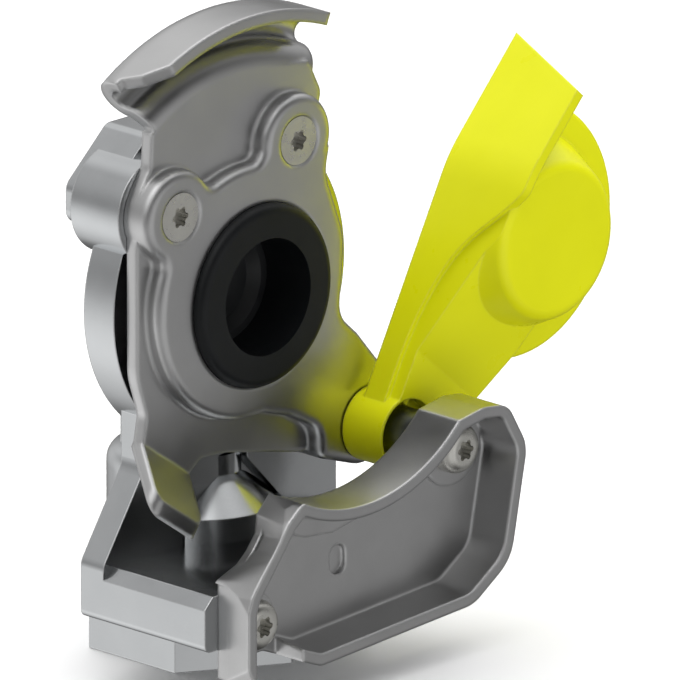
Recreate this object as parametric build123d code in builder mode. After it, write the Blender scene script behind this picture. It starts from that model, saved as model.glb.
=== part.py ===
from build123d import *
import math
import os

# Pneumatic coupling head with a hinged dust cap.
# Millimetres, +Z up, front towards -Y. The Y axis is the seal's axis.

os.makedirs("parts", exist_ok=True)

# Clearances
running_gap = 0.06
thread_gap = 0.05
seat_gap = 0.1
body_gap = 0.3

# Seal ring
seal_bore_r = 11.6
seal_r = 18.2
seal_stand = 2.1
seal_flange_r = 19.6
seal_flange_t = 7.1
seal_edge_r = 1.9
seal_lip_r = 0.5

# Palm plate, a pressed sheet
sheet = 2.6
palm_front = -2.0
flange_front = 1.8
edge_round = 1.7
valley_r = 3.0
surround_r = 25.3
palm_centre = (-2.0, 0.9)
strip_out = 0.5
pad_r = 9.1

# Rolled lip at the top of the plate, as radii about its own centre
lip_r = 55.3
lip_inner_bend = 2.2
lip_front = 2.0
lip_bend_y = 7.2
lip_start = 123.0
lip_end = 64.0
lip_centre = (-1.0, 0.9)
shoulder = 5.0

# Guide finger, folded forward about a crease
crease_left = (-28.2, -24.4)
crease_right = (-15.6, -33.2)
finger_length = 12.9
finger_fold = 44.5
tip_face = 3.4
tip_round = 2.4

# Screws
screw_left = (-21.5, 20.2)
screw_right = (10.7, 28.5)
screw_shank_r = 2.45
sunk_head_r = 4.8
sunk_depth = 0.25
head_edge = 0.2
sunk_length = 15.0
pan_head_r = 5.0
pan_head_h = 3.6
lobe_r = 2.15
lobe_depth = 2.0

# Body casting
disc_r = 31.5
disc_front = 6.4
disc_rear = 14.4
boss_front = 4.5
boss_rear = 17.4
wall_front = 6.3
wall_rear = 12.4
foot_top = -49.1
foot_bottom = -60.1
bar_left = -34.5
block_right = 27.3
floor_chamfer = 2.3
arm_front = -21.0
arm_right = 13.0
arm_corner_y = 2.0
boss_left_r = 10.6
boss_right_r = 8.0
lug_front = 8.0
lug_rear = 19.5
chamber_r = 14.6
chamber_rear = 25.0
rear_boss_r = 17.0
rear_boss_y = 27.5
channel_r = 4.0
channel_y = 15.4
neck_half = 12.0
neck_rear = 24.0

# Threaded port in the hexagonal foot
port_y = 13.0
port_drill_r = 7.25
port_depth = 16.0
hex_flats = 40.2
hex_bottom = -72.3
port_boss_r = 12.9
port_rear_r = 19.0
port_cone_base = -44.7
port_cone_top = -36.0
port_rear_top = -32.5

# Hinge
pin_x = 29.5
pin_z = -32.1
sleeve_r = 5.0
sleeve_bore_r = 2.6
hinge_boss_r = 6.6
hinge_boss_rear = 14.5
seat_pillar_r = 5.2

# Claw tray
claw_depth = 11.0
claw_wall = 2.3
claw_web = 2.6
claw_arc_r = 36.0
claw_draft = 7.0
leg_top = -46.4
leg_back_x = -31.0
leg_front_x = -33.8
pad_step = 1.0
corner_pad = 2.6
dimple_depth = 0.9
window_width = 12.5
upper_screw_length = 36.0
lower_screw = (-25.5, -55.1)
lower_screw_length = 20.0

# Cap
cap_wall = 2.2
cap_rear = 4.4
cap_front = 26.0
dome_face_y = 24.0
dome_face_r = 15.2
dome_base_r = 20.0
flange_y = 14.0
flange_r = 25.5
cup_ring_r = 14.4
barrel_r = 7.4
barrel_front = 12.6
barrel_mouth = 10.0
barrel_mouth_r = 6.8
web_start = 14.0
web_end = 36.0
cup_x = 59.3
cup_z = 2.4
tip_slant = 8.0
web_rise = 8.4
spring_room = 4.6
spring_pocket_r = 6.25

# Springs
torsion_wire = 0.9
torsion_turns = 3
valve_wire = 1.2
valve_coil_r = 9.2
valve_turns = 5

# Shut-off plunger
plunger_r = 13.4
plunger_t = 4.0
plunger_dish = 2.0
stem_r = 4.0
stem_length = 9.5
guide_r = 6.4
guide_length = 5.5

# Worked-out places
palm_back = palm_front + sheet
plate_back = flange_front + sheet
seal_front = palm_front - seal_stand
seal_seat = palm_back + seal_flange_t + seat_gap
barrel_rear = body_gap - palm_front
claw_back = arm_front
claw_front = claw_back - claw_depth


def front(y):
    """The plane at depth y, drawn on as seen from the front."""
    return Plane((0, y, 0), x_dir=(1, 0, 0), z_dir=(0, -1, 0))


def outline(corners):
    """A closed face from corners (x, z, rounding radius)."""
    with BuildSketch() as face:
        with BuildLine():
            Polyline(*[(x, z) for x, z, _ in corners], close=True)
        make_face()
        for x, z, radius in corners:
            if radius:
                fillet(face.vertices().sort_by_distance((x, z))[0], radius)
    return face.sketch


def six_lobe(radius):
    """A six-lobed drive recess of the given outer radius."""
    with BuildSketch() as face:
        Circle(radius * 0.76)
        with PolarLocations(radius * 0.74, 6):
            Circle(radius * 0.26)
    return face.sketch


lobe_face = six_lobe(lobe_r)
web_outline = outline([
    (22.0, -30.1, 0),
    (pin_x, pin_z, 0),
    (pin_x + 4.6, pin_z - 5.8, 0),
    (48.0, -29.7, 0),
    (55.0, -20.5, 0),
    (60.6, -10.1, 0),
    (54.0, 2.9, 0),
    (46.0, 14.9, 0),
    (40.0, 6.9, 0),
    (22.0, -25.1, 0),
])

# Palm plate: the set-back flange and the raised strip with the hinge ear
strip_x = palm_centre[0] + surround_r + strip_out
flange_outline = outline([
    (crease_right[0], crease_right[1], 0),
    (crease_left[0], crease_left[1], 0),
    (-27.2, -19.1, 4),
    (-29.8, -11.1, 12),
    (-29.8, 24.4, 8),
    (-26.0, 29.9, 3),
    (-25.6, 36.8, 0),
    (-18.0, 40.4, 0),
    (12.0, 42.9, 0),
    (17.0, 42.5, 0),
    (20.4, 35.7, 3),
    (18.0, 26.9, 0),
    (10.0, 20.9, 0),
    (10.0, -15.1, 0),
    (21.0, -29.1, 0),
    (21.0, -36.0, 1),
    (14.0, -35.5, 4),
    (-6.0, -31.1, 14),
    (-12.5, -30.7, 3),
])
ear_outline = outline([
    (1.0, -18.1, 0),
    (-2.0, -23.1, 0),
    (9.0, -26.6, 10),
    (16.4, -30.6, 5),
    (16.6, -36.8, 2.5),
    (28.5, -40.8, 7),
    (38.0, -38.1, 7),
    (38.3, -26.1, 7),
    (32.5, -19.7, 4),
    (27.5, -13.8, 3),
    (strip_x - 1.4, -9.2, 6),
    (strip_x, 6.8, 14),
    (strip_x - 5.2, 20.3, 8),
    (19.8, 25.8, 0),
    (12.0, 25.8, 0),
    (6.0, 1.8, 0),
])
wall_outline = outline([
    (-23.4, -9.1, 0),
    (-23.4, -31.7, 5),
    (bar_left, -48.8, 3),
    (bar_left, foot_bottom, 2.5),
    (20.0, foot_bottom, 3),
    (block_right, -52.1, 4),
    (block_right, -25.1, 6),
    (20.0, -9.1, 0),
])
block_outline = outline([
    (3.0, -34.8, 1.5),
    (17.0, foot_top - 0.3, 0),
    (block_right, foot_top - 0.3, 0),
    (block_right, -25.1, 6),
    (14.0, -23.1, 0),
    (3.0, -29.1, 0),
])
floor_section = outline([
    (bar_left, foot_bottom, 1.6),
    (block_right, foot_bottom, 0),
    (block_right, foot_top, 0),
    (bar_left + floor_chamfer, foot_top, 0),
    (bar_left, foot_top - floor_chamfer, 0),
])
lug_outline = outline([
    (-31.2, 17.5, 3),
    (-31.2, 24.3, 3),
    (-20.2, 34.3, 2.5),
    (-11.0, 34.3, 3),
    (-11.0, 12.9, 0),
    (-22.0, 12.9, 0),
])
flank_back = [
    (-12.0, -27.1),
    (-20.2, -35.3),
    (-20.6, -39.1),
    (-23.2, -42.3),
    (-25.9, -44.4),
    (-31.0, -45.9),
    (-34.6, -48.5),
    (-40.0, -49.1),
    (-40.0, -27.1),
]
flank_front = [
    (-12.0, -27.1),
    (-22.4, -32.7),
    (-24.2, -35.3),
    (-26.0, -37.9),
    (-28.2, -40.7),
    (-31.2, -44.7),
    (-33.8, -48.5),
    (-40.0, -49.1),
    (-40.0, -27.1),
]
claw_corners = [
    (-19.2, -31.4, 2.0),
    (-22.6, -34.1, 2.5),
    (-32.6, -46.7, 3.0),
    (-33.8, -50.1, 3.0),
    (-33.8, -61.1, 2.5),
    (-31.6, -65.7, 0.9),
    (-29.6, -65.3, 0.9),
    (-28.2, -61.5, 1.5),
    (-22.5, -61.3, 2.0),
    (-14.0, -64.7, 5.0),
    (28.0, -61.9, 8.0),
    (38.2, -55.1, 9.0),
    (42.6, -33.1, 7.0),
    (37.2, -23.7, 5.0),
    (30.8, -22.9, 4.0),
]

# Seal ring
with BuildPart() as seal_ring:
    with BuildSketch(Plane.XY) as seal_section:
        with Locations((seal_bore_r, seal_front)):
            Rectangle(seal_r - seal_bore_r, seal_seat - seat_gap - seal_front, align=(Align.MIN, Align.MIN))
        with Locations((seal_bore_r, palm_back)):
            Rectangle(seal_flange_r - seal_bore_r, seal_flange_t, align=(Align.MIN, Align.MIN))
        front_corners = seal_section.vertices().group_by(Axis.Y)[0]
        fillet(front_corners.sort_by(Axis.X)[-1], seal_edge_r)
        fillet(front_corners.sort_by(Axis.X)[0], seal_lip_r)
    revolve(axis=Axis.Y)
seal_ring.part.label = "seal_ring"
export_step(seal_ring.part, "parts/seal_ring.step")

# Palm plate
with BuildSketch() as raised_face:
    with Locations(palm_centre):
        Circle(surround_r)
    with Locations(screw_left, screw_right):
        Circle(pad_r)
    add(ear_outline)
lip_middle = Vector(lip_centre[0], 0, lip_centre[1])
lip_axis = Axis(lip_middle, (0, 1, 0))
lip_plane = Plane(
    lip_middle,
    x_dir=(math.cos(math.radians(lip_start)), 0, math.sin(math.radians(lip_start))),
    z_dir=(-math.sin(math.radians(lip_start)), 0, math.cos(math.radians(lip_start))),
)
lip_under = lip_r - sheet
bend_r = lip_under - lip_inner_bend
channel_r_top = bend_r - lip_inner_bend
dome_r = channel_r_top - shoulder
crease_length = math.dist(crease_left, crease_right)
crease_dir = Vector(crease_right[0] - crease_left[0], 0, crease_right[1] - crease_left[1]).normalized()
crease_down = Vector(0, 1, 0).cross(crease_dir)
fold = math.radians(finger_fold)
fold_back = sheet * (1 - math.cos(fold)) / math.sin(fold)
finger_plane = Plane((crease_left[0], 0, crease_left[1]), x_dir=crease_down, z_dir=crease_dir)
with BuildPart() as palm_plate:
    # Raised surround, screw pads and hinge ear, hollow behind
    with BuildSketch(front(palm_front)):
        add(raised_face.sketch)
    extrude(amount=palm_front - plate_back)
    valleys = [
        e for e in palm_plate.edges().filter_by(Axis.Y)
        if abs(math.dist((e.center().X, e.center().Z), palm_centre) - surround_r) < 0.05 and e.center().Z > 0
    ]
    fillet(valleys, valley_r)
    fillet(palm_plate.faces().sort_by(Axis.Y)[0].outer_wire().edges(), edge_round)
    with BuildSketch(front(plate_back)):
        add(raised_face.sketch)
        offset(amount=-sheet, kind=Kind.ARC, mode=Mode.REPLACE)
    extrude(amount=plate_back - palm_back, mode=Mode.SUBTRACT)
    # Flange, set back by the depth of the embossing
    with BuildSketch(front(flange_front)):
        add(flange_outline)
        with Locations(palm_centre):
            Circle(surround_r - sheet / 2, mode=Mode.SUBTRACT)
        with Locations(screw_left, screw_right):
            Circle(pad_r - sheet / 2, mode=Mode.SUBTRACT)
        with BuildSketch(mode=Mode.PRIVATE) as ear_clearance:
            add(ear_outline)
            offset(amount=-sheet / 2, mode=Mode.REPLACE)
        add(ear_clearance.sketch, mode=Mode.SUBTRACT)
    extrude(amount=-sheet)
    # Guide finger
    with BuildSketch(finger_plane):
        finger_tip = (finger_length * math.cos(fold), flange_front - finger_length * math.sin(fold))
        Polygon(
            (-sheet, flange_front),
            (0, flange_front),
            finger_tip,
            (finger_tip[0] + tip_face, finger_tip[1]),
            (fold_back, plate_back),
            (-sheet, plate_back),
            align=None,
        )
    extrude(amount=crease_length)
    tips = palm_plate.edges().filter_by(lambda e: e.center().Y < -3 and e.center().Z < -30 and abs(
        (e @ 1 - e @ 0).normalized().dot(crease_dir)) < 0.3)
    fillet([e for e in tips if abs((e @ 1 - e @ 0).Y) < 0.1], tip_round)
    # Rolled lip: dome edge, channel and overhang turned about the seal's axis
    with BuildSketch(lip_plane):
        with BuildLine():
            Line((dome_r - 5.0, plate_back), (dome_r - 5.0, flange_front))
            Line((dome_r - 5.0, flange_front), (dome_r, flange_front))
            RadiusArc((dome_r, flange_front), (channel_r_top, lip_bend_y), -(shoulder + 0.5))
            ThreePointArc(
                (channel_r_top, lip_bend_y), (bend_r, lip_bend_y + lip_inner_bend), (lip_under, lip_bend_y)
            )
            Line((lip_under, lip_bend_y), (lip_under, -lip_front))
            Line((lip_under, -lip_front), (lip_r, -lip_front))
            Line((lip_r, -lip_front), (lip_r, lip_bend_y))
            ThreePointArc(
                (lip_r, lip_bend_y),
                (bend_r, lip_bend_y + lip_inner_bend + sheet),
                (channel_r_top - sheet, lip_bend_y),
            )
            Line((channel_r_top - sheet, lip_bend_y), (dome_r, plate_back))
            Line((dome_r, plate_back), (dome_r - 5.0, plate_back))
        make_face()
    revolve(axis=lip_axis, revolution_arc=lip_start - lip_end)
    # Both ends of the overhang are cut back
    for bearing, cut in (
        (
            lip_start - 4,
            ((-4.6, lip_front + 0.6), (-3.4, 1.6), (0.6, -1.8), (2.6, -5.6), (8, -6.6), (8, 9), (-4.6, 9)),
        ),
        (
            lip_end + 3,
            ((1.6, lip_front + 4), (1.4, -3.6), (-2.4, -5.0), (-8, -5.0), (-8, 9), (1.6, 9)),
        ),
    ):
        turn = math.radians(bearing)
        outward = Vector(math.cos(turn), 0, math.sin(turn))
        with BuildSketch(Plane(
            outward * (lip_under - 4) + lip_middle,
            x_dir=Vector(-math.sin(turn), 0, math.cos(turn)),
            z_dir=outward,
        )) as end_cut:
            Polygon(*[(u, v) for u, v in cut], align=None)
        extrude(amount=12, mode=Mode.SUBTRACT)
    # Seal opening
    with BuildSketch(front(palm_front)):
        Circle(seal_r + seat_gap)
    extrude(amount=-sheet, mode=Mode.SUBTRACT)
    # Countersunk screw holes
    for x, z in (screw_left, screw_right):
        with Locations(Plane((x, palm_front, z), x_dir=(1, 0, 0), z_dir=(0, -1, 0))):
            CounterSinkHole(
                screw_shank_r + thread_gap,
                sunk_head_r + sunk_depth + head_edge,
                depth=10,
                counter_sink_angle=90,
            )
    # Hole for the claw's upper screw
    with Locations(Plane((pin_x, palm_front, pin_z), x_dir=(1, 0, 0), z_dir=(0, -1, 0))):
        Hole(screw_shank_r + thread_gap, depth=10)
palm_plate.part.label = "palm_plate"
export_step(palm_plate.part, "parts/palm_plate.step")

# Body casting
with BuildPart() as body:
    # Disc, frame and forward floor
    with BuildSketch(front(disc_front)):
        Circle(disc_r)
    extrude(amount=-(disc_rear - disc_front))
    with BuildSketch(front(wall_front)):
        add(wall_outline)
    extrude(amount=-(wall_rear - wall_front))
    with BuildSketch(front(boss_front)):
        add(block_outline)
    extrude(amount=-(wall_rear - boss_front))
    with BuildSketch(front(arm_front)):
        add(floor_section)
    extrude(amount=-(wall_rear - arm_front))
    with BuildSketch(Plane.XY.offset(foot_bottom)):
        Polygon(
            (arm_right, arm_front),
            (block_right, arm_corner_y),
            (block_right + 1, arm_corner_y),
            (block_right + 1, arm_front - 1),
            (arm_right, arm_front - 1),
            align=None,
        )
    extrude(amount=foot_top - foot_bottom, mode=Mode.SUBTRACT)
    # Screw bosses and the lug behind the left one
    for place, radius, rear in (
        (screw_left, boss_left_r, boss_rear),
        (screw_right, boss_right_r, boss_rear),
        ((pin_x, pin_z), hinge_boss_r, hinge_boss_rear),
    ):
        with BuildSketch(front(boss_front)):
            with Locations(place):
                Circle(radius)
        extrude(amount=-(rear - boss_front))
    with BuildSketch(front(lug_front)):
        add(lug_outline)
    extrude(amount=-(lug_rear - lug_front))
    # Seats that bear on the back of the plate
    with BuildSketch(front(palm_back)):
        with Locations(palm_centre):
            Circle(surround_r - sheet - seat_gap)
        with Locations(screw_left, screw_right, (pin_x, pin_z)):
            Circle(seat_pillar_r)
    extrude(amount=palm_back - disc_front - 1)
    # Chamber boss behind the seal, and the port boss and hexagonal foot below it
    with BuildSketch(front(disc_rear)):
        Circle(rear_boss_r)
    extrude(amount=-(rear_boss_y - disc_rear))
    with BuildSketch(front(port_y)):
        add(outline([
            (0.0, foot_bottom, 0),
            (port_rear_r, foot_bottom, 0),
            (port_rear_r, port_rear_top, 3.5),
            (0.0, port_rear_top, 0),
        ]))
    revolve(axis=Axis((0, port_y, 0), (0, 0, 1)), revolution_arc=180)
    with BuildSketch(Plane.YZ):
        with BuildLine():
            Polyline(
                (port_y, foot_bottom),
                (port_y - port_boss_r, foot_bottom),
                (port_y - port_boss_r, port_cone_base),
                (port_y - port_boss_r + port_cone_top - port_cone_base, port_cone_top),
                (port_y, port_cone_top),
                close=True,
            )
        make_face()
    revolve(axis=Axis((0, port_y, 0), (0, 0, 1)))
    with BuildSketch(front(wall_rear)):
        Rectangle(2 * neck_half, 40, align=(Align.CENTER, Align.MAX))
    extrude(amount=-(neck_rear - wall_rear))
    with BuildSketch(Plane.XY.offset(hex_bottom)):
        with Locations((0, port_y)):
            RegularPolygon(hex_flats / 2, 6, major_radius=False, rotation=30)
    extrude(amount=foot_bottom - hex_bottom)
    # Seal seat, valve chamber and plunger guide
    with BuildSketch(front(palm_front)):
        Circle(seal_flange_r + seat_gap)
    extrude(amount=palm_front - seal_seat, mode=Mode.SUBTRACT)
    with BuildSketch(front(0)):
        Circle(chamber_r)
    extrude(amount=-chamber_rear, mode=Mode.SUBTRACT)
    with BuildSketch(front(chamber_rear)):
        Circle(guide_r)
    extrude(amount=guide_length)
    with BuildSketch(front(0)):
        Circle(stem_r + running_gap)
    extrude(amount=-(chamber_rear + 2.0), mode=Mode.SUBTRACT)
    # Air channel down to the threaded port
    with Locations((0, port_y, hex_bottom)):
        Cylinder(port_drill_r, port_depth, align=(Align.CENTER, Align.CENTER, Align.MIN), mode=Mode.SUBTRACT)
    with Locations((0, channel_y, hex_bottom)):
        Cylinder(
            channel_r, -hex_bottom - chamber_r + 2.0, align=(Align.CENTER, Align.CENTER, Align.MIN),
            mode=Mode.SUBTRACT,
        )
    # Screw holes
    for x, z in (screw_left, screw_right):
        with Locations(Plane((x, palm_back, z), x_dir=(1, 0, 0), z_dir=(0, -1, 0))):
            CounterSinkHole(
                screw_shank_r + thread_gap,
                screw_shank_r + 0.5,
                depth=sunk_length - sheet + 0.6,
                counter_sink_angle=90,
            )
    with Locations(Plane((pin_x, palm_back, pin_z), x_dir=(1, 0, 0), z_dir=(0, -1, 0))):
        Hole(screw_shank_r + thread_gap, depth=upper_screw_length - body_gap + palm_back)
    with Locations(Plane((lower_screw[0], arm_front, lower_screw[1]), x_dir=(1, 0, 0), z_dir=(0, -1, 0))):
        Hole(screw_shank_r + thread_gap, depth=lower_screw_length)
body.part.label = "body"
export_step(body.part, "parts/body.step")

# Countersunk plate screws
for name, (x, z) in (("plate_screw_left", screw_left), ("plate_screw_right", screw_right)):
    with BuildPart() as plate_screw:
        with BuildSketch(Plane.XY) as section:
            with BuildLine():
                Polyline(
                    (0, sunk_depth),
                    (sunk_head_r, sunk_depth),
                    (sunk_head_r, sunk_depth + head_edge),
                    (screw_shank_r, sunk_depth + head_edge + sunk_head_r - screw_shank_r),
                    (screw_shank_r, sunk_length - 0.8),
                    (screw_shank_r - 0.8, sunk_length),
                    (0, sunk_length),
                    close=True,
                )
            make_face()
        revolve(axis=Axis.Y)
        with BuildSketch(front(0)):
            add(lobe_face)
        extrude(amount=-(sunk_depth + lobe_depth), mode=Mode.SUBTRACT)
    plate_screw.part.position = (x, palm_front, z)
    plate_screw.part.label = name
    export_step(plate_screw.part, f"parts/{name}.step")

# Claw tray
with BuildSketch() as tray_face:
    add(outline(claw_corners))
    with Locations(palm_centre):
        Circle(claw_arc_r, mode=Mode.SUBTRACT)
with BuildPart() as claw:
    with BuildSketch(front(claw_back)):
        add(tray_face.sketch)
    extrude(amount=claw_depth)
    with BuildSketch(front(claw_front)):
        add(tray_face.sketch)
        offset(amount=-claw_wall, kind=Kind.ARC, mode=Mode.REPLACE)
    extrude(amount=-(claw_depth - claw_web), taper=claw_draft, mode=Mode.SUBTRACT)
    # The bottom wall stops short of the lower screw
    with BuildSketch(front(claw_front)):
        with Locations((bar_left + claw_wall + 0.8, lower_screw[1] - pan_head_r)):
            Rectangle(window_width, 12, align=(Align.MIN, Align.CENTER))
    extrude(amount=-(claw_depth - claw_web - pad_step), mode=Mode.SUBTRACT)
    # Screw pads, corner pad and dimple
    with BuildSketch(front(claw_back)):
        with Locations(lower_screw):
            Circle(pan_head_r + 1.2)
        with Locations((pin_x, pin_z)):
            Circle(pan_head_r + 2.8)
    extrude(amount=claw_web + pad_step)
    with BuildSketch(front(claw_back)):
        add(outline([
            (-18.0, -34.1, 0),
            (-19.0, -37.5, 0),
            (-13.0, -40.5, 4),
            (-5.0, -41.3, 6),
            (5.0, -39.3, 3),
            (8.0, -34.5, 0),
        ]))
        with Locations(palm_centre):
            Circle(claw_arc_r, mode=Mode.SUBTRACT)
    extrude(amount=claw_web + corner_pad)
    with BuildSketch(front(claw_back - claw_web)):
        with Locations((-1.0, -48.1)):
            SlotCenterToCenter(1.8, 4.2, rotation=90)
    extrude(amount=-dimple_depth, mode=Mode.SUBTRACT)
    # The left flank sweeps inwards towards the back
    with BuildSketch(front(claw_back + 1)):
        Polygon(*flank_back, align=None)
    with BuildSketch(front(claw_front - 1)):
        Polygon(*flank_front, align=None)
    loft(ruled=True, mode=Mode.SUBTRACT)
    with BuildSketch(Plane.XY.offset(leg_top)):
        Polygon(
            (leg_back_x, claw_back),
            (leg_front_x, claw_front),
            (leg_front_x - 6, claw_front),
            (leg_front_x - 6, claw_back),
            align=None,
        )
    extrude(amount=-30, mode=Mode.SUBTRACT)
    for x, z in (lower_screw, (pin_x, pin_z)):
        with Locations(Plane((x, claw_front, z), x_dir=(1, 0, 0), z_dir=(0, -1, 0))):
            CounterBoreHole(
                screw_shank_r + thread_gap, pan_head_r + body_gap, claw_depth - claw_web - pad_step, depth=20
            )
claw.part.label = "claw"
export_step(claw.part, "parts/claw.step")

# Pan-head claw screws
head_seat = claw_back - claw_web - pad_step
for name, (x, z), length in (
    ("claw_screw_lower", lower_screw, lower_screw_length + claw_web),
    ("claw_screw_upper", (pin_x, pin_z), upper_screw_length),
):
    with BuildPart() as claw_screw:
        with BuildSketch(Plane.XY):
            with BuildLine():
                Line((0, -pan_head_h), (pan_head_r * 0.45, -pan_head_h))
                ThreePointArc(
                    (pan_head_r * 0.45, -pan_head_h),
                    (pan_head_r * 0.86, -pan_head_h * 0.8),
                    (pan_head_r, -pan_head_h * 0.4),
                )
                Polyline(
                    (pan_head_r, -pan_head_h * 0.4),
                    (pan_head_r, 0),
                    (screw_shank_r, 0),
                    (screw_shank_r, length - 0.8),
                    (screw_shank_r - 0.8, length),
                    (0, length),
                    (0, -pan_head_h),
                )
            make_face()
        revolve(axis=Axis.Y)
        with BuildSketch(front(-pan_head_h)):
            add(lobe_face)
        extrude(amount=-lobe_depth, mode=Mode.SUBTRACT)
    claw_screw.part.position = (x, head_seat, z)
    claw_screw.part.label = name
    export_step(claw_screw.part, f"parts/{name}.step")

# Hinge sleeve, clamped between the plate's ear and the claw
with BuildPart() as hinge_sleeve:
    with BuildSketch(front(palm_front)):
        with Locations((pin_x, pin_z)):
            Circle(sleeve_r)
            Circle(sleeve_bore_r, mode=Mode.SUBTRACT)
    extrude(amount=palm_front - claw_back)
hinge_sleeve.part.label = "hinge_sleeve"
export_step(hinge_sleeve.part, "parts/hinge_sleeve.step")

# Cap: lever wall, cut to its own front edge
lever_start, lever_bend, lever_tip = (24.8, -27.6), (49.2, 18.3), (67.9, 38.5)
with BuildSketch() as lever_face:
    with BuildLine() as lever_line:
        Polyline(lever_start, lever_bend, lever_tip)
        fillet(lever_line.vertices().sort_by_distance(lever_bend)[0], 30)
        offset(amount=cap_wall, side=Side.RIGHT)
    make_face()
with BuildPart() as lever:
    with BuildSketch(front(-cap_rear)):
        add(lever_face.sketch)
    extrude(amount=cap_front - cap_rear)
    along = Vector(lever_bend[0] - lever_start[0], 0, lever_bend[1] - lever_start[1]).normalized()
    lever_side = Plane(
        (lever_start[0], 0, lever_start[1]), x_dir=along, z_dir=along.cross(Vector(0, -1, 0))
    )
    with BuildSketch(lever_side):
        with BuildLine():
            Spline((-4, 9.9), (20, 10.4), (36, 15.8), (50, cap_front + 0.7), tangents=((1, 0), (1, 0.5)))
            Polyline((50, cap_front + 0.7), (50, cap_front + 8), (-4, cap_front + 8), (-4, 9.9))
        make_face()
    extrude(amount=8, both=True, mode=Mode.SUBTRACT)
    top_dir = Vector(lever_tip[0] - lever_bend[0], 0, lever_tip[1] - lever_bend[1]).normalized()
    top_side = Plane((lever_tip[0], 0, lever_tip[1]), x_dir=top_dir, z_dir=top_dir.cross(Vector(0, -1, 0)))
    with BuildSketch(top_side):
        Polygon(
            (0.0, 0.0), (0.0, cap_rear), (-tip_slant, cap_front), (-tip_slant, 40), (9, 40), (9, 0),
            align=None,
        )
    extrude(amount=8, both=True, mode=Mode.SUBTRACT)
    front_corner = lever.edges().filter_by(lambda e: e.length < cap_wall * 1.5).sort_by(Axis.Y)[0]
    fillet(front_corner, 4)

# Cap: web between the barrel and the dome, rising towards the dome
cup_axis = Axis((cup_x, 0, cup_z), (0, 1, 0))
cup_plane = Plane((cup_x, 0, cup_z), x_dir=(1, 0, 0), z_dir=(0, 0, 1))
reach_dir = Vector(cup_x - pin_x, 0, cup_z - pin_z).normalized()
reach_side = Plane((pin_x, 0, pin_z), x_dir=reach_dir, z_dir=reach_dir.cross(Vector(0, -1, 0)))
with BuildPart() as web:
    with BuildSketch(front(-cap_rear - cap_wall)):
        add(web_outline)
    extrude(amount=cap_front)
    with BuildSketch(reach_side):
        Polygon(
            (-30, barrel_front),
            (web_start, barrel_front),
            (web_end, barrel_front + web_rise),
            (80, barrel_front + web_rise),
            (80, 60),
            (-30, 60),
            align=None,
        )
    extrude(amount=60, both=True, mode=Mode.SUBTRACT)
    with BuildSketch(cup_plane):
        Polygon(
            (0, 0),
            (dome_base_r - cap_wall, 0),
            (dome_base_r - cap_wall, -flange_y + cap_wall),
            (dome_face_r - cap_wall, -dome_face_y + cap_wall),
            (0, -dome_face_y + cap_wall),
            align=None,
        )
    revolve(axis=cup_axis, mode=Mode.SUBTRACT)

# Cap: dome, flange, cup ring and barrel
with BuildPart() as cap:
    with BuildSketch(cup_plane) as cup_section:
        with BuildLine():
            Polyline(
                (0, -dome_face_y),
                (dome_face_r, -dome_face_y),
                (dome_base_r, -flange_y),
                (flange_r, -flange_y),
                (flange_r, -cap_rear),
                (flange_r - cap_wall, -cap_rear),
                (flange_r - cap_wall, -flange_y + cap_wall),
                (dome_base_r - cap_wall, -flange_y + cap_wall),
                (dome_face_r - cap_wall, -dome_face_y + cap_wall),
                (0, -dome_face_y + cap_wall),
                close=True,
            )
        make_face()
        fillet(cup_section.vertices().sort_by_distance((dome_face_r, -dome_face_y))[0], 2.4)
        fillet(cup_section.vertices().sort_by_distance((flange_r, -flange_y))[0], 1.2)
    revolve(axis=cup_axis)
    with BuildSketch(cup_plane):
        with Locations((cup_ring_r, seal_front - body_gap)):
            Rectangle(cap_wall, flange_y + seal_front, align=(Align.MAX, Align.MAX))
    revolve(axis=cup_axis)
    add(web.part)
    # Nothing of the cup stands beyond the lever wall
    with BuildSketch(front(0)):
        with Locations((cap_wall * 0.4, -cap_wall * 0.3)):
            Polygon(lever_start, lever_bend, lever_tip, (38.0, 70.9), (-12.0, 20.9), (8.0, -39.1), align=None)
    extrude(amount=40, mode=Mode.SUBTRACT)
    add(lever.part)
    with BuildSketch(front(-barrel_rear)):
        with Locations((pin_x, pin_z)):
            Circle(barrel_r)
    extrude(amount=barrel_front - barrel_rear)
    # Bearing, spring pocket and the notched recess in front of the barrel
    with BuildSketch(front(0)):
        with Locations((pin_x, pin_z)):
            Circle(sleeve_r + running_gap)
    extrude(amount=40, mode=Mode.SUBTRACT)
    with BuildSketch(front(-barrel_rear)):
        with Locations((pin_x, pin_z)):
            Circle(spring_pocket_r)
    extrude(amount=spring_room, mode=Mode.SUBTRACT)
    with BuildSketch(front(-barrel_mouth)):
        with Locations((pin_x, pin_z)):
            Circle(barrel_mouth_r)
    extrude(amount=30, mode=Mode.SUBTRACT)
    with BuildSketch(front(-barrel_mouth)):
        with Locations((pin_x, pin_z)):
            Polygon(
                (-1.6, barrel_mouth_r + 0.3),
                (0.2, sleeve_r + body_gap + 0.1),
                (1.4, barrel_mouth_r + 0.3),
                align=None,
            )
    extrude(amount=barrel_front - barrel_mouth - 0.4)
cap.part.label = "cap"
export_step(cap.part, "parts/cap.step")


def coil(radius, wire, pitch, turns):
    """A coil of round wire that starts at the origin and winds along +Y."""
    with BuildPart() as winding:
        with BuildLine():
            turn_line = Helix(pitch, pitch * turns, radius, direction=(0, 1, 0))
        with BuildSketch(Plane(turn_line @ 0, z_dir=turn_line % 0)):
            Circle(wire / 2)
        sweep()
    return winding.part


# Torsion spring round the sleeve, in the cap's barrel
cap_spring = coil(
    sleeve_r + running_gap + torsion_wire / 2 + 0.1, torsion_wire, torsion_wire * 1.2, torsion_turns
)
cap_spring.position = (pin_x, palm_front - 0.1 - torsion_wire / 2 - torsion_wire * 1.2 * torsion_turns, pin_z)
cap_spring.label = "cap_spring"
export_step(cap_spring, "parts/cap_spring.step")

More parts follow.
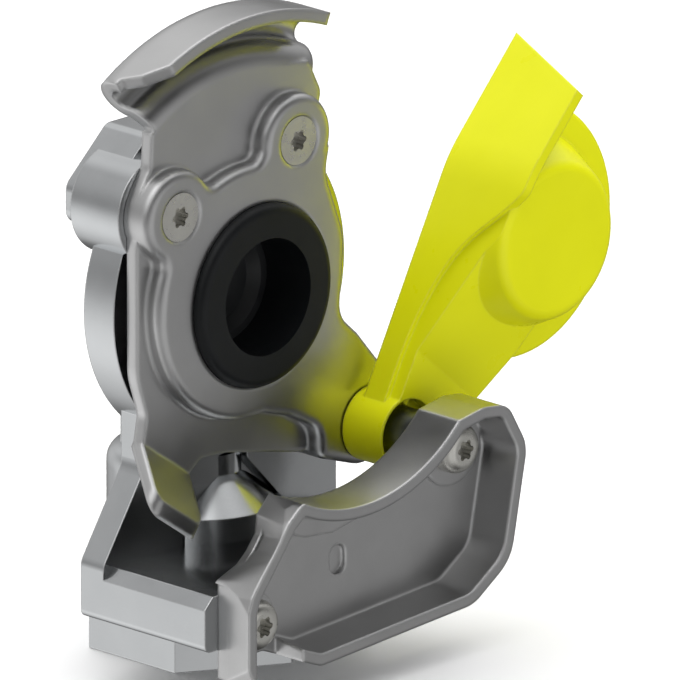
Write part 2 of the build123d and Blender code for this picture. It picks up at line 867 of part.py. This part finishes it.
# Shut-off plunger behind the seal ring
plunger_front = seal_seat
with BuildPart() as valve_plunger:
    with BuildSketch(Plane.XY) as plunger_section:
        with BuildLine():
            Polyline(
                (0, plunger_front + plunger_dish),
                (seal_bore_r - 1.5 - plunger_dish, plunger_front + plunger_dish),
                (seal_bore_r - 1.5, plunger_front),
                (plunger_r, plunger_front),
                (plunger_r, plunger_front + plunger_t),
                (stem_r, plunger_front + plunger_t),
                (stem_r, plunger_front + plunger_t + stem_length),
                (0, plunger_front + plunger_t + stem_length),
                close=True,
            )
        make_face()
    revolve(axis=Axis.Y)
valve_plunger.part.label = "valve_plunger"
export_step(valve_plunger.part, "parts/valve_plunger.step")

# Plunger spring
spring_start = plunger_front + plunger_t + valve_wire / 2 + 0.02
spring_end = chamber_rear - valve_wire / 2 - 0.02
valve_spring = coil(valve_coil_r, valve_wire, (spring_end - spring_start) / valve_turns, valve_turns)
valve_spring.position = (0, spring_start, 0)
valve_spring.label = "valve_spring"
export_step(valve_spring, "parts/valve_spring.step")
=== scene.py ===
import math

import bpy
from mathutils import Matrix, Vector


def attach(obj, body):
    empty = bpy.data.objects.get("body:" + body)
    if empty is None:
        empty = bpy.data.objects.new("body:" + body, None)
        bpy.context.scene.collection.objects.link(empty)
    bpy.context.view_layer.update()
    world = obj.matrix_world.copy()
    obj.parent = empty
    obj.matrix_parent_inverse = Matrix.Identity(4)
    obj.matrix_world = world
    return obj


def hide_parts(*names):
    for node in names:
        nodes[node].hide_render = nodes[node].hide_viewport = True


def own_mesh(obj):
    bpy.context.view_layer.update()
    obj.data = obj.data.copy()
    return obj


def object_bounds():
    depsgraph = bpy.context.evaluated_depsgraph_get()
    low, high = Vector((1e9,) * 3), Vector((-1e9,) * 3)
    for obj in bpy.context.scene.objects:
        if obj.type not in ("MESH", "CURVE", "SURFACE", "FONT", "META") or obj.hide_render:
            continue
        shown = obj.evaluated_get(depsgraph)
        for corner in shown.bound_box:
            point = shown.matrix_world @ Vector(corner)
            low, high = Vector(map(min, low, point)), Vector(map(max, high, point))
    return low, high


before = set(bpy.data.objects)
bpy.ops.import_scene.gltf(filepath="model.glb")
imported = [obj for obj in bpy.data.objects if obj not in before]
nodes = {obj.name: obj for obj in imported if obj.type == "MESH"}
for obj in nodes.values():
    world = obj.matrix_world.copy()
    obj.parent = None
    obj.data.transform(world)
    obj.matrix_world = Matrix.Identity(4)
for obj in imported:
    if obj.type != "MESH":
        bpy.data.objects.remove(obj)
cad_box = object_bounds()

scene = bpy.context.scene
scene.view_settings.view_transform = "Standard"
scene.cycles.glossy_bounces = 2

# The range that most of a noise texture's values fall in
NOISE_LOW, NOISE_HIGH = 0.3, 0.7
NOISE_ROUGHNESS = 0.55
# Samples of the bevel and occlusion nodes
EDGE_SAMPLES = 6
# What the occlusion node gives in an inner corner, and on an outer edge or a flat face
CORNER_OPEN, FACE_OPEN = 0.8, 0.95
# Cosine between the rounded and the flat normal at which an edge's painted highlight is full
FULL_EDGE_HIGHLIGHT = 0.9


class Shader:
    """One node material, built up from a Principled shader."""

    def __init__(self, name, **constants):
        self.material = bpy.data.materials.new(name)
        self.material.use_nodes = True
        self.tree = self.material.node_tree
        self.shader = self.tree.nodes["Principled BSDF"]
        for key, value in constants.items():
            self.shader.inputs[key.replace("_", " ")].default_value = value
        self.place = self.node("ShaderNodeTexCoord").outputs["Object"]

    def node(self, kind, **settings):
        made = self.tree.nodes.new(kind)
        for key, value in settings.items():
            setattr(made, key, value)
        return made

    def join(self, source, socket):
        self.tree.links.new(source, socket)

    def noise(self, scale, detail, stretch=(1, 1, 1)):
        """Fractal noise in object space; stretch squeezes it along the axes."""
        mapping = self.node("ShaderNodeMapping")
        mapping.inputs["Scale"].default_value = stretch
        self.join(self.place, mapping.inputs["Vector"])
        texture = self.node("ShaderNodeTexNoise")
        texture.inputs["Scale"].default_value = scale
        texture.inputs["Detail"].default_value = detail
        texture.inputs["Roughness"].default_value = NOISE_ROUGHNESS
        self.join(mapping.outputs["Vector"], texture.inputs["Vector"])
        return texture.outputs["Fac"]

    def spread(self, source, start, end, low, high, curve="LINEAR"):
        """source from start to end, turned into low to high."""
        made = self.node("ShaderNodeMapRange", interpolation_type=curve)
        ranges = {"From Min": start, "From Max": end, "To Min": low, "To Max": high}
        for key, value in ranges.items():
            made.inputs[key].default_value = value
        self.join(source, made.inputs["Value"])
        return made.outputs["Result"]

    def tones(self, source, dark, light):
        """A noise source turned into colours from dark to light."""
        made = self.node("ShaderNodeValToRGB")
        stops = ((NOISE_LOW, dark), (NOISE_HIGH, light))
        for point, (position, colour) in zip(made.color_ramp.elements, stops):
            point.position = position
            point.color = (*colour, 1)
        self.join(source, made.inputs["Fac"])
        return made.outputs["Color"]

    def bump(self, source, depth, strength, under=None):
        made = self.node("ShaderNodeBump")
        made.inputs["Distance"].default_value = depth
        made.inputs["Strength"].default_value = strength
        self.join(source, made.inputs["Height"])
        if under is not None:
            self.join(under, made.inputs["Normal"])
        return made.outputs["Normal"]

    def mix(self, kind, factor, a, b):
        """a at factor 0 and b at factor 1; b may be a plain colour."""
        made = self.node("ShaderNodeMix", data_type=kind)
        self.join(factor, made.inputs["Factor"])
        self.join(a, made.inputs["A"])
        if isinstance(b, tuple):
            made.inputs["B"].default_value = (*b, 1)
        else:
            self.join(b, made.inputs["B"])
        return made.outputs["Result"]

    def soft_edges(self, radius):
        """Normals that turn smoothly over each edge, as on a cast or moulded piece."""
        made = self.node("ShaderNodeBevel", samples=EDGE_SAMPLES)
        made.inputs["Radius"].default_value = radius
        return made.outputs["Normal"]

    def outer_edges(self, rounded, reach):
        """Rounded normals on outer edges alone; inner corners nearer than reach stay sharp."""
        flat = self.node("ShaderNodeNewGeometry").outputs["Normal"]
        near = self.node("ShaderNodeAmbientOcclusion", samples=EDGE_SAMPLES, only_local=True)
        near.inputs["Distance"].default_value = reach
        outer = self.spread(near.outputs["AO"], CORNER_OPEN, FACE_OPEN, 0.0, 1.0, "SMOOTHSTEP")
        return self.mix("VECTOR", outer, flat, rounded)

    def painted_edge_highlight(self, source, rounded, colour, amount):
        """source lightened to colour along the edges that rounded turns over: a painted highlight."""
        flat = self.node("ShaderNodeNewGeometry").outputs["Normal"]
        turn = self.node("ShaderNodeVectorMath", operation="DOT_PRODUCT")
        self.join(rounded, turn.inputs[0])
        self.join(flat, turn.inputs[1])
        edge = self.spread(turn.outputs["Value"], 1.0, FULL_EDGE_HIGHLIGHT, 0.0, amount, "SMOOTHSTEP")
        return self.mix("RGBA", edge, source, colour)

    def dress(self, **sources):
        """Joins each source to the Principled shader's socket of that name."""
        for key, source in sources.items():
            self.join(source, self.shader.inputs[key.replace("_", " ")])


def surface(name, tones, rough, grain=None, edge=None, edge_highlight=None, stretch=(1, 1, 1), metallic=1.0, **constants):
    """A material of clouded tones and uneven roughness.

    tones is a noise scale and detail with a dark and a light colour, rough a scale and detail with a
    low and a high value, and grain a scale and detail with a depth and a strength. edge is the radius
    that edges are rounded to, and the painted highlight along them is given as a colour and an amount.
    """
    made = Shader(name, Metallic=metallic, **constants)
    scale, detail, dark, light = tones
    colour = made.tones(made.noise(scale, detail), dark, light)
    rounded = made.soft_edges(edge) if edge else None
    # Lighter colour along the rounded edges: a painted highlight
    if edge_highlight:
        colour = made.painted_edge_highlight(colour, rounded, *edge_highlight)
    scale, detail, low, high = rough
    roughness = made.spread(made.noise(scale, detail, stretch), NOISE_LOW, NOISE_HIGH, low, high)
    made.dress(Base_Color=colour, Roughness=roughness)
    if grain:
        scale, detail, depth, strength = grain
        made.dress(Normal=made.bump(made.noise(scale, detail), depth, strength, rounded))
    return made.material


def cast_metal(name, dark, light, rough, grain, depth, edge, inner_reach=None):
    """Fine cast metal with soft clouding and a light grain.

    With inner_reach, inner corners nearer than that stay sharp.
    """
    made = Shader(name, Metallic=1.0)
    rounded = made.soft_edges(edge)
    if inner_reach:
        rounded = made.outer_edges(rounded, inner_reach)
    clouds = made.tones(made.noise(45, 5), dark, light)
    fine = made.bump(made.noise(grain, 3), depth, 0.5, rounded)
    # The base colour is lightened to near-white along the rounded edges, a painted highlight
    made.dress(
        Base_Color=made.painted_edge_highlight(clouds, rounded, (0.9, 0.9, 0.9), 0.7),
        Roughness=made.spread(made.noise(120, 3), NOISE_LOW, NOISE_HIGH, *rough),
        Normal=made.bump(made.noise(90, 2), depth * 4, 0.25, fine),
    )
    return made.material


cast_bright = cast_metal(
    "bright_casting_look",
    dark=(0.60, 0.615, 0.625),
    light=(0.66, 0.675, 0.685),
    rough=(0.14, 0.21),
    grain=1600,
    depth=0.00001,
    edge=0.0004,
    inner_reach=0.0015,
)
cast_satin = cast_metal(
    "satin_casting_look",
    dark=(0.54, 0.54, 0.54),
    light=(0.62, 0.62, 0.62),
    rough=(0.28, 0.36),
    grain=1100,
    depth=0.00003,
    edge=0.0010,
)
pressed_steel = surface(
    "pressed_steel_look",
    tones=(38, 4, (0.58, 0.58, 0.58), (0.64, 0.64, 0.64)),
    rough=(160, 3, 0.29, 0.35),
    grain=(900, 2, 0.00002, 0.5),
    edge=0.0013,
    # Colour and amount of the painted highlight along the edges
    edge_highlight=((0.85, 0.85, 0.85), 0.5),
)
plated_steel = surface(
    "plated_steel_look",
    tones=(300, 3, (0.76, 0.75, 0.70), (0.84, 0.83, 0.78)),
    rough=(500, 3, 0.24, 0.36),
    grain=(900, 2, 0.000006, 0.4),
)
dark_steel = surface(
    "dark_steel_look",
    tones=(200, 3, (0.16, 0.17, 0.18), (0.24, 0.25, 0.26)),
    rough=(300, 3, 0.28, 0.4),
    stretch=(1, 12, 1),
)
wire_steel = surface(
    "wire_steel_look",
    tones=(400, 3, (0.42, 0.42, 0.42), (0.56, 0.56, 0.55)),
    rough=(700, 3, 0.25, 0.38),
)
rubber = surface(
    "rubber_look",
    tones=(70, 4, (0.004, 0.005, 0.006), (0.008, 0.009, 0.010)),
    rough=(220, 4, 0.34, 0.46),
    grain=(1400, 3, 0.00002, 0.5),
    metallic=0.0,
    Specular_IOR_Level=0.3,
)
black_plastic = surface(
    "black_plastic_look",
    tones=(120, 4, (0.010, 0.011, 0.012), (0.018, 0.019, 0.020)),
    rough=(300, 4, 0.3, 0.42),
    grain=(1800, 3, 0.00002, 0.4),
    metallic=0.0,
)
yellow_plastic = surface(
    "yellow_plastic_look",
    tones=(60, 3, (0.83, 0.84, 0.004), (0.87, 0.88, 0.006)),
    rough=(150, 4, 0.27, 0.37),
    grain=(1300, 3, 0.000015, 0.5),
    edge=0.0006,
    # Colour and amount of the painted highlight along the edges
    edge_highlight=((0.93, 0.94, 0.10), 0.5),
    metallic=0.0,
    Specular_IOR_Level=0.22,
)

looks = {
    "body": cast_bright,
    "palm_plate": pressed_steel,
    "claw": cast_satin,
    "seal_ring": rubber,
    "valve_plunger": black_plastic,
    "cap": yellow_plastic,
    "hinge_sleeve": dark_steel,
    "cap_spring": wire_steel,
    "valve_spring": wire_steel,
    "plate_screw_left": plated_steel,
    "plate_screw_right": plated_steel,
    "claw_screw_lower": plated_steel,
    "claw_screw_upper": plated_steel,
}
for name, material in looks.items():
    mesh = nodes[name].data
    mesh.materials.clear()
    mesh.materials.append(material)


def add_piece(name, mesh, body):
    """A new object that rides on a body and takes its finish from a slot."""
    piece = bpy.data.objects.new(name, mesh)
    scene.collection.objects.link(piece)
    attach(piece, body)
    return piece


def build_mesh(name, points, faces, material, smooth=False):
    mesh = bpy.data.meshes.new(name)
    mesh.from_pydata(points, [], faces)
    mesh.polygons.foreach_set("use_smooth", [smooth] * len(faces))
    mesh.materials.append(material)
    mesh.update()
    return mesh


def thread(place, radius, depth, pitch, low, high, steps=48, sunk=0.00005):
    """Points and faces of a helical ridge inside an upright threaded hole.

    It stands depth out of the wall, tapers into it at both ends, and is sunk a little into it.
    """
    count = int((high - low) / pitch * steps)
    taper = steps / 3
    points = []
    for i in range(count + 1):
        angle = 2 * math.pi * i / steps
        height = low + pitch * i / steps
        crest = depth * min(1.0, i / taper, (count - i) / taper)
        section = ((-sunk, -0.42), (crest, -0.07), (crest, 0.07), (-sunk, 0.42))
        for inward, rise in section:
            x = place[0] + (radius - inward) * math.cos(angle)
            y = place[1] + (radius - inward) * math.sin(angle)
            points.append((x, y, height + rise * pitch))
    last = 4 * count
    faces = [(3, 2, 1, 0), (last, last + 1, last + 2, last + 3)]
    for i in range(count):
        for k in range(4):
            here, beside = 4 * i + k, 4 * i + (k + 1) % 4
            faces.append((here, beside, beside + 4, here + 4))
    return points, faces


def half_turned(place, profile, steps=72, margin=math.radians(4)):
    """Points and faces of the front half of a turned shell about an upright axis.

    profile is (radius, height) pairs. margin keeps both ends inside the wall behind.
    """
    points, faces = [], []
    for ends in zip(profile, profile[1:]):
        first = len(points)
        for i in range(steps + 1):
            angle = math.pi + margin + (math.pi - 2 * margin) * i / steps
            for r, z in ends:
                points.append((place[0] + r * math.cos(angle), place[1] + r * math.sin(angle), z))
        for i in range(steps):
            here = first + 2 * i
            faces.append((here, here + 2, here + 3, here + 1))
    return points, faces


def prisms(outlines, front, back):
    """Points and faces of flat pieces between two depths, each from its outline's (x, z) points."""
    points, faces = [], []
    for outline in outlines:
        first, count = len(points), len(outline)
        points += [(x, y, z) for y in (front, back) for x, z in outline]
        faces.append(tuple(range(first, first + count)))
        faces.append(tuple(range(first + 2 * count - 1, first + count - 1, -1)))
        for i in range(count):
            j = (i + 1) % count
            faces.append((first + i, first + count + i, first + count + j, first + j))
    return points, faces


PORT_AXIS = (0.0, 0.013)

port_thread = thread(
    PORT_AXIS,
    radius=0.00725,
    depth=0.00048,
    pitch=0.0015,
    low=-0.0715,
    high=-0.0575,
)
add_piece("port_thread", build_mesh("port_thread", *port_thread, cast_bright), "head")

# The boss over the port, a little wider than its solid, with a short neck above its cone
BOSS_RADIUS, BOSS_NECK_RADIUS = 0.0140, 0.0074
BOSS_FOOT, CONE_BASE, CONE_TOP, BOSS_NECK_TOP = -0.0590, -0.0442, -0.0376, -0.0335
port_collar = half_turned(
    PORT_AXIS,
    [
        (BOSS_RADIUS, BOSS_FOOT),
        (BOSS_RADIUS, CONE_BASE),
        (BOSS_NECK_RADIUS, CONE_TOP),
        (BOSS_NECK_RADIUS, BOSS_NECK_TOP),
    ],
)
collar_mesh = build_mesh("port_collar", *port_collar, cast_bright, smooth=True)
add_piece("port_collar", collar_mesh, "head")

# The webs that close the slot between the wall and the boss behind it, just under its surface
WEB_INNER, WEB_OUTER = 0.0119, 0.01896
WEB_FOOT, WEB_TOP = -0.0600, -0.03254
WEB_FRONT, WEB_BACK = 0.0123, 0.0131
SHOULDER_X, SHOULDER_Z, SHOULDER_RADIUS = 0.0155, -0.0360, 0.00346
shoulder = [
    (
        SHOULDER_X + SHOULDER_RADIUS * math.cos(math.radians(turn)),
        SHOULDER_Z + SHOULDER_RADIUS * math.sin(math.radians(turn)),
    )
    for turn in range(0, 91, 10)
]
web = [(WEB_INNER, WEB_FOOT), (WEB_OUTER, WEB_FOOT), *shoulder, (WEB_INNER, WEB_TOP)]
other_web = [(-x, z) for x, z in reversed(web)]
rear_webs = prisms([web, other_web], WEB_FRONT, WEB_BACK)
add_piece("rear_webs", build_mesh("rear_webs", *rear_webs, cast_bright), "head")

# The valve's spring, as a copy with its own mesh that rides on the head in place of the part
valve_coil = add_piece("valve_coil", nodes["valve_spring"].data.copy(), "head")
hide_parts("valve_spring")
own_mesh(valve_coil)

# Studio: a pale floor that keeps the object's shadow
FLOOR_SIZE, FLOOR_GAP = 8, 0.0001
bpy.ops.mesh.primitive_plane_add(size=FLOOR_SIZE, location=(0, 0, cad_box[0].z - FLOOR_GAP))
floor = bpy.context.object
floor.name = "floor"
floor_look = Shader("floor_look", Roughness=0.9, Base_Color=(0.92, 0.92, 0.92, 1))
floor.data.materials.append(floor_look.material)
floor.visible_glossy = False
floor.visible_diffuse = False

# White to the camera, and a surround of soft patches to the object
world = bpy.data.worlds.new("studio")
scene.world = world
world.use_nodes = True
world.cycles.sampling_method = "NONE"
sky = world.node_tree
sky.nodes.clear()
out = sky.nodes.new("ShaderNodeOutputWorld")
camera_sky = sky.nodes.new("ShaderNodeBackground")
camera_sky.inputs["Color"].default_value = (1, 1, 1, 1)
camera_sky.inputs["Strength"].default_value = 1.0
room = sky.nodes.new("ShaderNodeBackground")
room.inputs["Strength"].default_value = 1.0
choose = sky.nodes.new("ShaderNodeMixShader")
seen = sky.nodes.new("ShaderNodeLightPath")
where = sky.nodes.new("ShaderNodeTexCoord")


def patch(direction, edge, strength):
    """A soft patch of the room, which fades out at the cosine edge to direction."""
    dot = sky.nodes.new("ShaderNodeVectorMath")
    dot.operation = "DOT_PRODUCT"
    dot.inputs[1].default_value = Vector(direction).normalized()
    sky.links.new(where.outputs["Generated"], dot.inputs[0])
    made = sky.nodes.new("ShaderNodeMapRange")
    made.interpolation_type = "SMOOTHSTEP"
    ranges = {"From Min": edge, "From Max": 1.0, "To Min": 0.0, "To Max": strength}
    for key, value in ranges.items():
        made.inputs[key].default_value = value
    sky.links.new(dot.outputs["Value"], made.inputs["Value"])
    return made.outputs["Result"]


def add(a, b):
    made = sky.nodes.new("ShaderNodeMath")
    made.operation = "ADD"
    sky.links.new(a, made.inputs[0])
    sky.links.new(b, made.inputs[1])
    return made.outputs["Value"]


def surround(patches, edge):
    """The room's brightness as soft patches, each at an azimuth and elevation with a strength."""
    total = None
    for azimuth, elevation, strength in patches:
        turn, rise = math.radians(azimuth), math.radians(elevation)
        direction = (math.cos(turn) * math.cos(rise), math.sin(turn) * math.cos(rise), math.sin(rise))
        level = patch(direction, edge, strength)
        total = level if total is None else add(total, level)
    return total


# What the metals mirror, darkest at the front right, and the softer light on the matt surfaces
mirrored = surround([
    (90, -45, 0.10), (135, -45, 0.60), (225, -45, 0.28), (315, -45, 0.07),
    (0, -10, 0.18), (90, -10, 0.36), (135, -10, 0.33), (180, -10, 0.27), (225, -10, 0.07),
    (270, -10, 0.48), (315, -10, 0.19), (45, 20, 0.14), (90, 20, 0.27),
    (0, 50, 0.56), (45, 50, 0.44), (135, 50, 0.28), (180, 50, 0.92), (0, 90, 0.70),
], edge=0.68)
shone = surround([
    (45, -45, 0.40), (135, -45, 0.87), (225, -10, 0.31), (270, -10, 1.33), (90, 20, 0.83),
    (225, 20, 0.21), (0, 50, 0.77), (45, 50, 0.90), (135, 50, 0.45), (0, 90, 1.61),
], edge=0.55)
level = sky.nodes.new("ShaderNodeMix")
sky.links.new(seen.outputs["Is Glossy Ray"], level.inputs["Factor"])
sky.links.new(shone, level.inputs["A"])
sky.links.new(mirrored, level.inputs["B"])
sky.links.new(level.outputs["Result"], room.inputs["Color"])
sky.links.new(seen.outputs["Is Camera Ray"], choose.inputs["Fac"])
sky.links.new(room.outputs["Background"], choose.inputs[1])
sky.links.new(camera_sky.outputs["Background"], choose.inputs[2])
sky.links.new(choose.outputs["Shader"], out.inputs["Surface"])

# Camera at the photograph's angle, with a lens so long that it hardly has perspective
TO_CAMERA = Vector((-0.6822, -0.6680, 0.2974)).normalized()
TARGET = Vector((0.02381, 0.0, -0.01477))
LENS, SENSOR = 1500.0, 36.0
VIEW_WIDTH = 0.13077
camera_data = bpy.data.cameras.new("camera")
camera_data.lens = LENS
camera_data.sensor_width = SENSOR
camera_data.clip_start = 0.1
camera_data.clip_end = 30.0
camera = bpy.data.objects.new("camera", camera_data)
scene.collection.objects.link(camera)
camera.location = TARGET + TO_CAMERA * (LENS / SENSOR * VIEW_WIDTH)
camera.rotation_euler = (-TO_CAMERA).to_track_quat("-Z", "Y").to_euler()
scene.camera = camera
